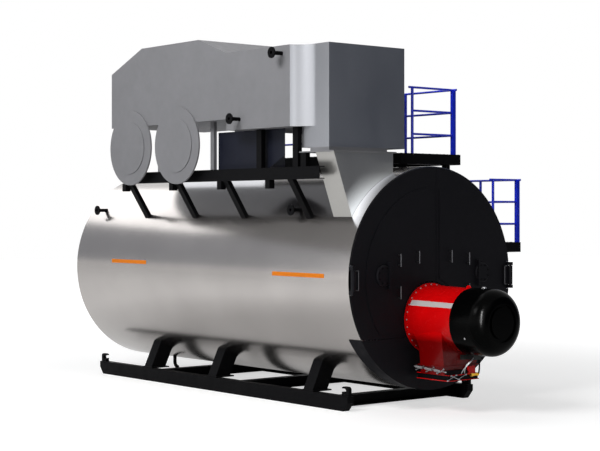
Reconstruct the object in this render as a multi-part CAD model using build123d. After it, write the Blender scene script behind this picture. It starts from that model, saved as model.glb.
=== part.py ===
from build123d import *
import os
from math import cos, pi, sin, sqrt

# Skid-mounted horizontal fire-tube boiler with front burner, smoke-box doors, flue economiser and walkways.
# Millimetres. +X runs along the drum to the burner end, -Y is the strut side, +Z is up.
# The origin is on the ground, in the middle of the four anchor holes of the skid.

# Drum
shell_radius = 1650.0
shell_length = 7450.0
shell_shift = 120.0
shell_wall = 60.0
ground_clearance = 280.0
smoke_box_depth = 700.0
tube_plate_thickness = 30.0
rear_plate_thickness = 40.0
rear_cover_radius = 330.0
rear_cover_thickness = 60.0

# Clearances
seat = 0.3
door_gap = 6.0
pin_clearance = 0.1

# Skid, with the places of beams and saddles measured back from the front end of the runners
runner_length = 6800.0
runner_height = 220.0
runner_width = 120.0
runner_web = 14.0
runner_flange = 18.0
runner_inset = 415.0
runner_bevel_run = 100.0
runner_bevel_rise = 125.0
anchor_inset = 500.0
anchor_hole_radius = 14.0
cross_beam_height = 170.0
cross_beam_width = 160.0
cross_beam_wall = 14.0
cross_beam_back = (400.0, 2840.0, 5100.0)
saddle_back = (925.0, 3384.0, 5265.0)
saddle_length = 215.0
saddle_width = 290.0
saddle_lean = 0.46
saddle_inset = 20.0
base_plate_thickness = 20.0
base_plate_margin = 40.0
base_plate_width = 360.0
hook_length = 150.0
hook_height = 138.0
hook_thickness = 60.0
hook_inset = 10.0
hook_mouth_radius = 36.0
hook_mouth_reach = 92.0
hook_mouth_rise = 74.0
hook_corner = 28.0
hook_lip_height = 60.0

# Front: door leaves, hinges and the fixed lower plate
door_margin = 13.0
door_thickness = 12.0
seam_shift = 60.0
panel_inset = 299.0
panel_rise = 8.0
panel_margin = 60.0
lower_edge_rise = 787.0
lower_band_length = 280.0
lower_band_thickness = 8.0
hinge_inset = 35.0
hinge_forward = 45.0
hinge_pin_radius = 18.0
hinge_barrel_radius = 34.0
hinge_barrel_height = 290.0
hinge_lug_gap = 5.0
hinge_lug_height = 50.0
hinge_lug_half_width = 28.0
hinge_strap_thickness = 28.0
hinge_strap_reach = 125.0
hinge_notch_margin = 15.0
hinge_notch_depth = 50.0
hatch_radius = 150.0
hatch_thickness = 40.0
hatch_chamfer = 14.0
hatch_inset = 629.0
hatch_rise = 54.0
hatch_bar_inset = 93.0
hatch_bar_width = 36.0
hatch_bar_height = 390.0
hatch_bar_thickness = 20.0
handle_radius = 10.0
handle_height = 185.0
handle_standoff = 60.0
handle_inner_y = 335.0
handle_inner_rise = 310.0
handle_hatch_gap = 303.0
handle_outer_rises = (272.0, -198.0)

# Burner, with heights measured from the underside of the drum and widths from the burner's own axis
burner_shift = -70.0
burner_rise = 1057.0
burner_flange_radius = 518.0
burner_flange_thickness = 30.0
burner_radius = 470.0
burner_back_radius = 492.0
burner_housing_length = 883.0
burner_cover_radius = 480.0
burner_cover_length = 584.0
burner_cover_round = 200.0
burner_recess_radius = 268.0
burner_recess_depth = 25.0
burner_hub_radius = 225.0
burner_lug_back = (95.0, 800.0)
burner_lug_radius = 42.0
burner_lug_thickness = 24.0
boss_margin = 15.0
boss_gap = 10.0
throat_radius = 430.0
throat_wall = 20.0
air_box_back = 215.0
air_box_front = 700.0
air_box_foot_near = 386.0
air_box_foot_far = 209.0
air_box_slope_drop = 375.0
air_box_drop = 762.0
air_box_lip = 26.0
air_box_lip_drop = 648.0
air_box_lip_thickness = 14.0
tray_back = 110.0
tray_front = 760.0
tray_near = 370.0
tray_far = 256.0
tray_height = 90.0
tray_plate = 10.0
tray_core_inset = 14.0
servo_length = 55.0
servo_height = 60.0
servo_far = 20.0
drive_near = 40.0
drive_far = 176.0
drive_height = 106.0
control_box_front = 860.0
control_box_near = 36.0
control_box_far = 190.0
control_box_drop = 560.0
control_plate_near = 75.0
control_plate_thickness = 18.0

# Flue transition, flange and economiser
transition_front = 249.0
transition_length = 403.0
transition_top_rise = 185.0
transition_lean = 71.0
transition_foot_rise = 903.0
transition_far = 578.0
flange_height = 75.0
flange_plate = 20.0
flange_frame_back = 798.0
flange_front = 215.0
flange_length = 775.0
flange_overhang = 100.0
flange_far_overhang = 40.0
inlet_front = 378.0
inlet_length = 610.0
inlet_margin = 229.0
inlet_flare_run = 310.0
economiser_overhang = 280.0
economiser_top_rise = 1757.0
body_length = 1551.0
economiser_far = 0.0
body_bottom_rise = 569.0
duct_length = 3293.0
duct_bottom_rise = 742.0
duct_shoulder_rise = 1655.0
duct_top_rise = 2025.0
duct_chamfer_run = 930.0
duct_slope_run = 745.0
round_cover_radius = 619.0
round_cover_rise = 388.0
round_cover_back = (5215.0, 3855.0)
round_cover_thickness = 26.0
round_cover_disc_radius = 430.0
round_cover_disc_thickness = 12.0
hopper_back = 3143.0
hopper_front = 1460.0
hopper_flat_front = 1850.0
hopper_slope_rise = 190.0
hopper_inset = 42.0
hopper_depth = 520.0
hopper_splay = 660.0

# Upper frame
beam_standoff = 82.0
beam_height = 182.0
beam_width = 100.0
beam_wall = 12.0
beam_below_crown = 198.0
beam_front = 500.0
beam_length = 5110.0
member_back = (5680.0, 4270.0, 2940.0, 1715.0)
member_width = 110.0
member_height = 130.0
strut_back = (5532.0, 4122.0, 2793.0, 1185.0)
strut_width = 118.0
strut_depth = 80.0
strut_foot_drop = 620.0
strut_foot_in = 310.0
post_back = (1930.0, 1060.0)
flange_post_back = 875.0
post_length = 120.0
post_depth = 80.0
far_post_y = -100.0
duct_post_back = 4620.0
duct_post_radius = 55.0
duct_plate_thickness = 90.0
duct_plate_depth = 60.0

# Walkways
deck_front = 495.0
upper_deck_length = 4360.0
lower_deck_length = 4950.0
deck_plate = 10.0
deck_wall = 14.0
upper_deck_near = -190.0
upper_deck_far = 1071.0
upper_deck_rise = 210.0
upper_deck_depth = 160.0
upper_rail_near = 80.0
upper_rail_inset = 121.0
upper_rail_bays = 4
lower_deck_gap = 10.0
lower_deck_width = 780.0
lower_deck_rise = 487.0
lower_deck_depth = 156.0
lower_rail_near_inset = 180.0
lower_rail_bays = 6
deck_leg_width = 90.0
deck_leg_inset = 160.0
deck_leg_count = 4
bracket_thickness = 40.0
bracket_drop = 620.0
rail_height = 1000.0
rail_inset = 40.0
rail_overhang = 70.0
rail_levels = (295.0, 648.0)
rail_radius = 17.0
rail_post_radius = 22.0
rail_corner_size = 60.0

# Connections
nozzle_pipe_radius = 30.0
nozzle_bore_radius = 26.0
nozzle_flange_radius = 82.5
nozzle_flange_thickness = 20.0
nozzle_bolt_circle = 125.0
nozzle_bolt_count = 4
nozzle_bolt_radius = 9.0
nozzle_length = 200.0
economiser_nozzles = ((2207.0, 728.0), (1176.0, 1640.0))
shell_nozzle_front = 1500.0
shell_nozzle_rear = 450.0
shell_nozzle_rise = 1003.0
drain_rear = 1455.0
drain_y = -520.0
drain_radius = 30.0
drain_drop = 20.0
drain_bend = 90.0

# Derived places
axis_height = ground_clearance + shell_radius
crown = axis_height + shell_radius
inner_radius = shell_radius - shell_wall
shell_front = shell_length / 2 + shell_shift
shell_back = shell_front - shell_length
shell_end = shell_front - door_thickness - door_gap
drum_end = shell_front - smoke_box_depth
runner_front = runner_length / 2
runner_track = 2 * (shell_radius - runner_inset)
runner_outer = (runner_track + runner_width) / 2
runner_inner = runner_outer - runner_width
door_radius = shell_radius - door_margin
door_face = shell_front + panel_rise
panel_radius = door_radius - panel_inset
hatch_y = door_radius - hatch_inset
lower_edge = ground_clearance + lower_edge_rise
hinge_y = shell_radius - hinge_inset
hinge_x = shell_front + hinge_forward
lug_low = hinge_barrel_height / 2 + hinge_lug_gap
lug_high = lug_low + hinge_lug_height
burner_z = ground_clearance + burner_rise
boss_radius = burner_flange_radius + boss_margin
throat_bore = throat_radius - throat_wall
flange_face = shell_front + burner_flange_thickness
cover_back = shell_front + burner_housing_length
tray_top = burner_z - air_box_drop
transition_top = crown + transition_top_rise
inlet_bottom = transition_top + flange_height
economiser_top = crown + economiser_top_rise
economiser_near = -(shell_radius + economiser_overhang)
inlet_back = shell_front - inlet_front - inlet_length
body_bottom = crown + body_bottom_rise
body_back = inlet_back - body_length
duct_back = body_back - duct_length
duct_bottom = crown + duct_bottom_rise
beam_y = -(shell_radius + beam_standoff)
beam_bottom = crown - beam_below_crown
beam_top = beam_bottom + beam_height
deck_front_end = shell_front - deck_front
upper_deck_top = crown + upper_deck_rise
lower_deck_top = axis_height + lower_deck_rise
lower_deck_bottom = lower_deck_top - lower_deck_depth
lower_deck_inner = shell_radius + lower_deck_gap
lower_deck_outer = lower_deck_inner + lower_deck_width


def block(low, high):
    """A box between two corners."""
    size = [b - a for a, b in zip(low, high)]
    middle = [(a + b) / 2 for a, b in zip(low, high)]
    return Pos(*middle) * Box(*size)


def along_x(sketch, start, end):
    """A sketch drawn in Y and Z, extruded from X = start to X = end."""
    return extrude(Plane.YZ.offset(start) * sketch, amount=end - start)


def along_y(sketch, start, end):
    """A sketch drawn in X and Z, extruded from Y = start to Y = end."""
    return extrude(Plane.XZ.offset(-end) * sketch, amount=end - start)


def along_z(sketch, start, end):
    """A sketch drawn in X and Y, extruded from Z = start to Z = end."""
    return extrude(Plane.XY.offset(start) * sketch, amount=end - start)


def outline(*points):
    """A closed face through the points."""
    return make_face(Polyline(*points, close=True))


def rectangle(low, high):
    """A rectangle between two corners of a sketch."""
    return Pos((low[0] + high[0]) / 2, (low[1] + high[1]) / 2) * Rectangle(high[0] - low[0], high[1] - low[1])


def axis_circle(radius):
    """A circle round the drum's axis, in Y and Z."""
    return Pos(0, axis_height) * Circle(radius)


def burner_circle(radius):
    """A circle round the burner's axis, in Y and Z."""
    return Pos(burner_shift, burner_z) * Circle(radius)


def shell_space():
    """The drum's outer cylinder with a seating gap, longer than the drum."""
    return along_x(axis_circle(shell_radius + seat), shell_back - shell_radius, shell_front + shell_radius)


def rod(start, end, radius):
    """A round bar between two points."""
    line = Vector(*end) - Vector(*start)
    return extrude(Plane(origin=start, z_dir=line) * Circle(radius), amount=line.length)


def channel(outer, inner, low, high, wall):
    """A channel section with its web at the outer side."""
    return outline(
        (outer, low),
        (inner, low),
        (inner, low + wall),
        (outer + wall, low + wall),
        (outer + wall, high - wall),
        (inner, high - wall),
        (inner, high),
        (outer, high),
    )


def mirrored(solid):
    """The same piece on the other side of the boiler."""
    return mirror(solid, about=Plane.XZ)


# Skid

def runner_right():
    """Channel runner with its web outside, bevelled ends closed by plates and two anchor holes."""
    side = outline(
        (-runner_front, runner_height),
        (-runner_front, runner_bevel_rise),
        (-runner_front + runner_bevel_run, 0),
        (runner_front - runner_bevel_run, 0),
        (runner_front, runner_bevel_rise),
        (runner_front, runner_height),
    )
    solid = along_y(side, runner_inner, runner_outer)
    hollow_end = runner_front - runner_bevel_run - runner_web
    solid -= block(
        (-hollow_end, runner_inner, runner_flange),
        (hollow_end, runner_outer - runner_web, runner_height - runner_flange),
    )
    for x in (anchor_inset - runner_front, runner_front - anchor_inset):
        solid -= Pos(x, runner_track / 2, runner_flange / 2) * Cylinder(anchor_hole_radius, runner_flange)
    return solid


def cross_beams():
    """Channel cross-beams that run between the webs of the two runners."""
    reach = runner_outer - runner_web
    low = (runner_height - cross_beam_height) / 2
    beams = []
    for back in cross_beam_back:
        left = runner_front - back - cross_beam_width / 2
        section = channel(left, left + cross_beam_width, low, low + cross_beam_height, cross_beam_wall)
        beams.append(along_y(section, -reach, reach))
    return Compound(children=beams)


def saddle_leg(x):
    """One leaning saddle leg on its base plate, coped to the drum."""
    foot = runner_height + base_plate_thickness
    outer = runner_outer - saddle_inset
    rise = axis_height - foot
    profile = outline(
        (outer, foot),
        (outer - saddle_width, foot),
        (outer - saddle_width - saddle_lean * rise, foot + rise),
        (outer - saddle_lean * rise, foot + rise),
    )
    half = saddle_length / 2
    leg = along_x(profile, x - half, x + half) - shell_space()
    leg = leg.solids().sort_by(Axis.Z)[0]
    plate = block(
        (x - half - base_plate_margin, runner_outer - base_plate_width, runner_height),
        (x + half + base_plate_margin, runner_outer, foot),
    )
    return leg + plate


def saddles_right():
    return Compound(children=[saddle_leg(runner_front - back) for back in saddle_back])


def lifting_hook():
    """An open hook on the front end of a runner's top, its round mouth towards the middle of the skid."""
    heel = runner_front - hook_inset
    tip = heel - hook_length
    top = runner_height + hook_height
    side = outline(
        (heel, runner_height),
        (heel, top - hook_corner),
        (heel - hook_corner, top),
        (tip + hook_corner, top),
        (tip, top - hook_corner / 2),
        (tip, runner_height),
    )
    mouth = Pos(heel - hook_mouth_reach, runner_height + hook_mouth_rise) * Circle(hook_mouth_radius)
    throat_low = runner_height + hook_lip_height
    throat = rectangle(
        (tip - hook_corner, throat_low),
        (heel - hook_mouth_reach, runner_height + hook_mouth_rise + hook_mouth_radius),
    )
    middle = runner_track / 2
    return along_y(side - mouth - throat, middle - hook_thickness / 2, middle + hook_thickness / 2)


def lifting_hooks():
    front = lifting_hook()
    rear = mirror(front, about=Plane.YZ)
    return Compound(children=[front, rear, mirrored(front), mirrored(rear)])


# Drum

def ring(outer, inner):
    """A ring round the drum's axis."""
    return axis_circle(outer) - axis_circle(inner)


def shell_drum():
    return along_x(ring(shell_radius, inner_radius), shell_back, drum_end)


def smoke_box():
    return along_x(ring(shell_radius, inner_radius), drum_end, shell_end)


def rear_plate():
    """Flat rear end, set into the drum."""
    return along_x(axis_circle(inner_radius), shell_back, shell_back + rear_plate_thickness)


def rear_cover():
    """Round access cover on the rear end."""
    return along_x(axis_circle(rear_cover_radius), shell_back - rear_cover_thickness, shell_back)


def tube_plate():
    """Front tube plate between drum and smoke box, with the furnace mouth."""
    plate = axis_circle(inner_radius) - burner_circle(throat_bore)
    return along_x(plate, drum_end - tube_plate_thickness, drum_end)


def throat():
    """Burner throat that passes through the smoke box to the furnace."""
    return along_x(burner_circle(throat_radius) - burner_circle(throat_bore), drum_end, shell_end)


def lower_front():
    """Fixed lower front plate with the burner boss and the band that wraps back round the drum."""
    outer = shell_radius + lower_band_thickness
    below = rectangle((-outer, axis_height - outer), (outer, lower_edge))
    segment = axis_circle(outer) & below
    plate = along_x(segment + burner_circle(boss_radius) - burner_circle(throat_bore), shell_end, shell_front)
    band = ring(outer, shell_radius + seat) & below
    return plate + along_x(band, shell_front - lower_band_length, shell_end)


# Door leaves

def leaf_outline(radius, side, margin):
    """One leaf's outline: round outside, straight at the seam and at its foot, cut round the burner boss."""
    seam = seam_shift + side * (door_gap / 2 + margin)
    low = min(seam, side * shell_radius)
    high = max(seam, side * shell_radius)
    keep = rectangle((low, lower_edge + door_gap + margin), (high, crown))
    return (axis_circle(radius) & keep) - burner_circle(boss_radius + boss_gap + margin)


def door_leaf(side):
    """Door leaf with a raised panel, notched at the hinge."""
    notch_height = lug_high + hinge_notch_margin
    notch_start = hinge_y - hinge_notch_depth
    low = min(side * notch_start, side * shell_radius)
    high = max(side * notch_start, side * shell_radius)
    notch = rectangle((low, axis_height - notch_height), (high, axis_height + notch_height))
    leaf = along_x(leaf_outline(door_radius, side, 0) - notch, shell_front - door_thickness, shell_front)
    return leaf + along_x(leaf_outline(panel_radius, side, panel_margin), shell_front, door_face)


def hinge_strap_right():
    """Hinge strap on the leaf with its barrel round the pin."""
    low = axis_height - hinge_barrel_height / 2
    high = axis_height + hinge_barrel_height / 2
    strap = block(
        (shell_front, hinge_y - hinge_strap_reach, low),
        (shell_front + hinge_strap_thickness, hinge_y, high),
    )
    barrel = along_z(Pos(hinge_x, hinge_y) * Circle(hinge_barrel_radius), low, high)
    bore = along_z(Pos(hinge_x, hinge_y) * Circle(hinge_pin_radius + pin_clearance), low, high)
    return strap + barrel - bore


def hinge_bracket_right():
    """Two fixed lugs on the smoke box and the pin between them."""
    bracket = along_z(
        Pos(hinge_x, hinge_y) * Circle(hinge_pin_radius),
        axis_height - lug_high,
        axis_height + lug_high,
    )
    for low in (axis_height - lug_high, axis_height + lug_low):
        bracket += block(
            (shell_end, hinge_y - hinge_lug_half_width, low),
            (hinge_x + hinge_lug_half_width, hinge_y + hinge_lug_half_width, low + hinge_lug_height),
        )
    return bracket


def hatch_right():
    """Round inspection hatch on a leaf's panel, with an upright clamp bar across it."""
    circle = Pos(hatch_y, axis_height + hatch_rise) * Circle(hatch_radius)
    cover = along_x(circle, door_face, door_face + hatch_thickness)
    rim = cover.edges().filter_by(GeomType.CIRCLE).sort_by(Axis.X)[-1]
    cover = chamfer(rim, hatch_chamfer)
    bar_y = hatch_y - hatch_bar_inset
    middle = axis_height + hatch_rise
    bar = block(
        (door_face, bar_y - hatch_bar_width / 2, middle - hatch_bar_height / 2),
        (
            door_face + hatch_thickness + hatch_bar_thickness,
            bar_y + hatch_bar_width / 2,
            middle + hatch_bar_height / 2,
        ),
    )
    return cover + bar


def handle(y, rise):
    """One upright bar handle on two standoffs."""
    bar_x = shell_front + handle_standoff
    low = axis_height + rise - handle_height / 2
    high = low + handle_height
    solid = rod((bar_x, y, low), (bar_x, y, high), handle_radius)
    for z in (low + 2 * handle_radius, high - 2 * handle_radius):
        solid += rod((door_face, y, z), (bar_x, y, z), handle_radius)
    return solid


def handles_right():
    outer_y = hatch_y - handle_hatch_gap
    bars = [handle(handle_inner_y, handle_inner_rise)]
    bars += [handle(outer_y, rise) for rise in handle_outer_rises]
    return Compound(children=bars)


# Burner

def burner_flange():
    return along_x(burner_circle(burner_flange_radius) - burner_circle(throat_bore), shell_front, flange_face)


def air_box_outline(grow):
    """The air box seen from the front: tangent to the housing and narrower at its foot."""
    return outline(
        (burner_shift - burner_radius - grow, burner_z),
        (burner_shift - air_box_foot_near - grow, tray_top),
        (burner_shift + air_box_foot_far + grow, tray_top),
        (burner_shift + burner_radius + grow, burner_z),
    )


def burner_housing():
    """Round fan housing with two lifting lugs and the tapered air box that hangs from it."""
    ends = ((flange_face, burner_back_radius), (cover_back, burner_radius))
    housing = loft([Plane.YZ.offset(x) * burner_circle(radius) for x, radius in ends])
    front = shell_front + air_box_front
    back = shell_front + air_box_back
    side = outline(
        (flange_face, burner_z),
        (back, burner_z - air_box_slope_drop),
        (back, tray_top),
        (front, tray_top),
        (front, burner_z),
    )
    width = 2 * burner_radius
    housing += along_x(air_box_outline(0), flange_face, front) & along_y(side, -width, width)
    lip_low = burner_z - air_box_lip_drop
    lip = block(
        (back - air_box_lip, -width, lip_low),
        (front + air_box_lip, width, lip_low + air_box_lip_thickness),
    )
    housing += along_x(air_box_outline(air_box_lip), back - air_box_lip, front + air_box_lip) & lip
    crest = burner_z + burner_radius
    half = burner_lug_thickness / 2
    for x in burner_lug_back:
        lug = Pos(shell_front + x, crest) * Circle(burner_lug_radius)
        housing += along_y(lug, burner_shift - half, burner_shift + half)
    return housing


def burner_cover():
    """Round cover with a rolled front edge and a round recess with a low hub in it."""
    front = cover_back + burner_cover_length
    cover = along_x(burner_circle(burner_cover_radius), cover_back, front)
    rim = cover.edges().filter_by(GeomType.CIRCLE).sort_by(Axis.X)[-1]
    cover = fillet(rim, burner_cover_round)
    groove = burner_circle(burner_recess_radius) - burner_circle(burner_hub_radius)
    return cover - along_x(groove, front - burner_recess_depth, front)


def burner_tray():
    """Top and bottom plates of the gas valve tray under the air box, with a drive box on the top one."""
    low = (shell_front + tray_back, burner_shift - tray_near)
    high = (shell_front + tray_front, burner_shift + tray_far)
    bottom = tray_top - tray_height
    drive = block(
        (shell_front + air_box_front + air_box_lip, burner_shift + drive_near, tray_top),
        (shell_front + tray_front, burner_shift + drive_far, tray_top + drive_height),
    )
    upper = block((*low, tray_top - tray_plate), (*high, tray_top)) + drive
    return Compound(children=[upper, block((*low, bottom), (*high, bottom + tray_plate))])


def valve_box():
    """Dark valve casing between the two plates of the tray."""
    return block(
        (
            shell_front + tray_back + tray_core_inset,
            burner_shift - tray_near + tray_core_inset,
            tray_top - tray_height + tray_plate,
        ),
        (
            shell_front + tray_front - tray_core_inset,
            burner_shift + tray_far - tray_core_inset,
            tray_top - tray_plate,
        ),
    )


def servo_block():
    """Damper drive on the front edge of the tray."""
    back = shell_front + air_box_front
    return block(
        (back, burner_shift - tray_near, tray_top),
        (back + servo_length, burner_shift + servo_far, tray_top + servo_height),
    )


def control_box():
    """Control cabinet under the housing, with a side plate on the air box, both coped to the round."""
    back = shell_front + air_box_front
    low = burner_z - control_box_drop
    box = block(
        (back, burner_shift + control_box_near, low),
        (shell_front + control_box_front, burner_shift + control_box_far, burner_z),
    )
    box += block(
        (back, burner_shift - control_plate_near, low),
        (back + control_plate_thickness, burner_shift + control_box_near, burner_z),
    )
    box -= along_x(burner_circle(burner_back_radius + seat), shell_front, cover_back)
    return box


# Flue transition and economiser

def transition_duct():
    """Flue duct that rises from the smoke box, its near side leaning out."""
    front = shell_front - transition_front
    foot = axis_height + transition_foot_rise
    foot_near = sqrt(shell_radius ** 2 - transition_foot_rise ** 2)
    side = outline(
        (-foot_near, foot),
        (-shell_radius - transition_lean, transition_top),
        (-transition_far, transition_top),
        (-transition_far, axis_height),
        (-transition_far - shell_wall, axis_height),
    )
    return along_x(side, front - transition_length, front) - shell_space()


def transition_flange():
    """Flange plate on the transition, with the raised frame that the inlet's neck stands on."""
    front = shell_front - flange_front
    plate = block(
        (front - flange_length, -shell_radius - flange_overhang, transition_top),
        (front, flange_far_overhang - transition_far, transition_top + flange_plate),
    )
    frame = block(
        (shell_front - flange_frame_back, economiser_near + inlet_margin, transition_top + flange_plate),
        (shell_front - inlet_front, -transition_far, inlet_bottom),
    )
    return plate + frame


def economiser_inlet():
    """Inlet box on a straight neck, its sides flared out to the width of the body."""
    front = inlet_back + inlet_length
    near = economiser_near + inlet_margin
    far = economiser_far - inlet_margin
    flare = inlet_back + inlet_flare_run
    plan = make_face([
        TangentArc((flare, near), (inlet_back, economiser_near), tangent=(-1, 0)),
        Line((inlet_back, economiser_near), (inlet_back, economiser_far)),
        TangentArc((flare, far), (inlet_back, economiser_far), tangent=(-1, 0)),
        Line((flare, far), (front, far)),
        Line((front, far), (front, near)),
        Line((front, near), (flare, near)),
    ])
    neck = block((inlet_back, near, inlet_bottom), (front, far, body_bottom))
    return along_z(plan, body_bottom, economiser_top) + neck


def economiser_body():
    return block(
        (body_back, economiser_near, body_bottom),
        (inlet_back, economiser_far, economiser_top),
    )


def rear_duct():
    """Flue duct behind the economiser with a chamfered rear and a sloped front top."""
    shoulder = crown + duct_shoulder_rise
    top = crown + duct_top_rise
    side = outline(
        (duct_back, duct_bottom),
        (body_back, duct_bottom),
        (body_back, economiser_top),
        (body_back - duct_slope_run, top),
        (duct_back + duct_chamfer_run, top),
        (duct_back, shoulder),
    )
    return along_y(side, economiser_near, economiser_far)


def round_cover(back):
    """Round blind cover on the duct's near face, with a raised inner disc."""
    center = Pos(shell_front - back, crown + round_cover_rise)
    face = economiser_near - round_cover_thickness
    cover = along_y(center * Circle(round_cover_radius), face, economiser_near)
    return cover + along_y(center * Circle(round_cover_disc_radius), face - round_cover_disc_thickness, face)


def hopper():
    """Closed hopper under the economiser body, its foot cut up at the front and its ends splayed."""
    back = shell_front - hopper_back
    front = shell_front - hopper_front
    near = beam_y + beam_width / 2 + hopper_inset
    far = near + hopper_depth
    side = outline(
        (back, beam_top),
        (shell_front - hopper_flat_front, beam_top),
        (front, beam_top + hopper_slope_rise),
        (front, body_bottom),
        (back, body_bottom),
    )
    plan = outline((back, near), (front, near), (front - hopper_splay, far), (back + hopper_splay, far))
    return along_y(side, near, far) & along_z(plan, beam_top, body_bottom)


# Upper frame

def near_beam():
    """Longitudinal channel beam along the strut side."""
    outer = beam_y - beam_width / 2
    section = channel(outer, outer + beam_width, beam_bottom, beam_top, beam_wall)
    front = shell_front - beam_front
    return along_x(section, front - beam_length, front)


def cross_members():
    """Members that run under the beam to the drum, coped to its curve."""
    members = []
    for back in member_back:
        x = shell_front - back
        member = block(
            (x - member_width / 2, beam_y - beam_width / 2, beam_bottom - member_height),
            (x + member_width / 2, 0, beam_bottom),
        )
        members.append((member - shell_space()).solids().sort_by(Axis.Y)[0])
    return Compound(children=members)


def struts():
    """Raking struts from the drum out to the underside of the beam."""
    top_outer = beam_y - strut_depth / 2
    top_inner = beam_y + strut_depth / 2
    foot_shift = strut_foot_in + strut_depth
    foot = beam_bottom - strut_foot_drop
    bars = []
    for back in strut_back:
        x = shell_front - back
        side = outline(
            (top_outer, beam_bottom),
            (top_inner, beam_bottom),
            (top_inner + foot_shift, foot),
            (top_outer + foot_shift, foot),
        )
        bar = along_x(side, x - strut_width / 2, x + strut_width / 2) - shell_space()
        bars.append(bar.solids().sort_by(Axis.Z)[-1])
    return Compound(children=bars)


def post(back, y, foot, top):
    """One upright rectangular post."""
    x = shell_front - back
    return block(
        (x - post_length / 2, y - post_depth / 2, foot),
        (x + post_length / 2, y + post_depth / 2, top),
    )


def economiser_posts():
    """Posts from the beam and from the upper deck to the undersides of the economiser and its flange."""
    near = [post(back, beam_y, beam_top, body_bottom) for back in post_back]
    far = [post(back, far_post_y, upper_deck_top, body_bottom) for back in post_back]
    return Compound(children=near + far + [post(flange_post_back, beam_y, beam_top, transition_top)])


def duct_supports():
    """Round posts and a flat post that carry the rear duct on the beam and on the upper deck."""
    x = shell_front - duct_post_back
    near = rod((x, beam_y, beam_top), (x, beam_y, duct_bottom), duct_post_radius)
    far_x = deck_stations(upper_deck_length)[0]
    far = rod((far_x, far_post_y, upper_deck_top), (far_x, far_post_y, duct_bottom), duct_post_radius)
    back = shell_front - hopper_back
    plate = block(
        (back - duct_plate_thickness, beam_y, beam_top),
        (back, beam_y + duct_plate_depth, duct_bottom),
    )
    return Compound(children=[near, far, plate])


# Walkways

def deck_stations(length):
    """The places along X where legs or brackets carry a deck of that length."""
    start = deck_front_end - length + deck_leg_inset
    span = length - 2 * deck_leg_inset
    return [start + span * i / (deck_leg_count - 1) for i in range(deck_leg_count)]


def deck(length, near, far, top, depth):
    """A deck tray: tread plate with an edge frame and a cross rib over each leg or bracket."""
    back = deck_front_end - length
    tray = block((back, near, top - depth), (deck_front_end, far, top))
    half = deck_leg_width / 2
    starts = [back + deck_wall] + [x + half for x in deck_stations(length)]
    ends = [x - half for x in deck_stations(length)] + [deck_front_end - deck_wall]
    for start, end in zip(starts, ends):
        tray -= block((start, near + deck_wall, top - depth), (end, far - deck_wall, top - deck_plate))
    return tray


def upper_deck():
    return deck(upper_deck_length, upper_deck_near, upper_deck_far, upper_deck_top, upper_deck_depth)


def lower_deck():
    return deck(lower_deck_length, lower_deck_inner, lower_deck_outer, lower_deck_top, lower_deck_depth)


def upper_deck_legs():
    """Short legs from the drum up to the upper deck, coped to the drum."""
    legs = []
    half = deck_leg_width / 2
    for x in deck_stations(upper_deck_length):
        for y in (0.0, upper_deck_far - deck_leg_inset):
            leg = block(
                (x - half, y - half, axis_height),
                (x + half, y + half, upper_deck_top - upper_deck_depth),
            )
            legs.append((leg - shell_space()).solids().sort_by(Axis.Z)[-1])
    return Compound(children=legs)


def lower_deck_brackets():
    """Triangular brackets from the drum out under the lower deck."""
    brackets = []
    outer = lower_deck_outer - deck_leg_inset
    side = outline(
        (0, lower_deck_bottom),
        (outer, lower_deck_bottom),
        (outer, lower_deck_bottom - bracket_thickness),
        (shell_radius, lower_deck_bottom - bracket_drop),
        (0, lower_deck_bottom - bracket_drop),
    )
    for x in deck_stations(lower_deck_length):
        bracket = along_x(side, x - bracket_thickness / 2, x + bracket_thickness / 2) - shell_space()
        brackets.append(bracket.solids().sort_by(Axis.Y)[-1])
    return Compound(children=brackets)


def railing_side(front, back, bays, y, floor):
    """The long panel: square corner posts, round posts between, two mid rails and an overhanging top rail."""
    top = floor + rail_height
    half = rail_corner_size / 2
    panel = rod((back - rail_overhang, y, top), (front + rail_overhang, y, top), rail_radius)
    for x in (front, back):
        panel += block((x - half, y - half, floor), (x + half, y + half, top))
    for i in range(1, bays):
        x = back + (front - back) * i / bays
        panel += rod((x, y, floor), (x, y, top), rail_post_radius)
    for level in rail_levels:
        panel += rod((back, y, floor + level), (front, y, floor + level), rail_radius)
    return panel


def railing_end(x, near, far, floor):
    """The short panel across one end of a deck: one post, two mid rails and an overhanging top rail."""
    top = floor + rail_height
    reach = far - rail_corner_size / 2 - seat
    panel = rod((x, near - rail_overhang, top), (x, reach, top), rail_radius)
    panel += rod((x, near, floor), (x, near, top), rail_post_radius)
    for level in rail_levels:
        panel += rod((x, near, floor + level), (x, reach, floor + level), rail_radius)
    return panel


def railing(length, bays, near, far, floor):
    """Guard rail round the two ends and the outer side of a deck."""
    front = deck_front_end - rail_inset
    back = deck_front_end - length + rail_inset
    panels = [railing_end(x, near, far, floor) for x in (front, back)]
    return Compound(children=[railing_side(front, back, bays, far, floor)] + panels)


def upper_railing():
    far = upper_deck_far - upper_rail_inset
    return railing(upper_deck_length, upper_rail_bays, upper_rail_near, far, upper_deck_top)


def lower_railing():
    near = lower_deck_inner + lower_rail_near_inset
    return railing(lower_deck_length, lower_rail_bays, near, lower_deck_outer - rail_inset, lower_deck_top)


# Connections

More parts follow.
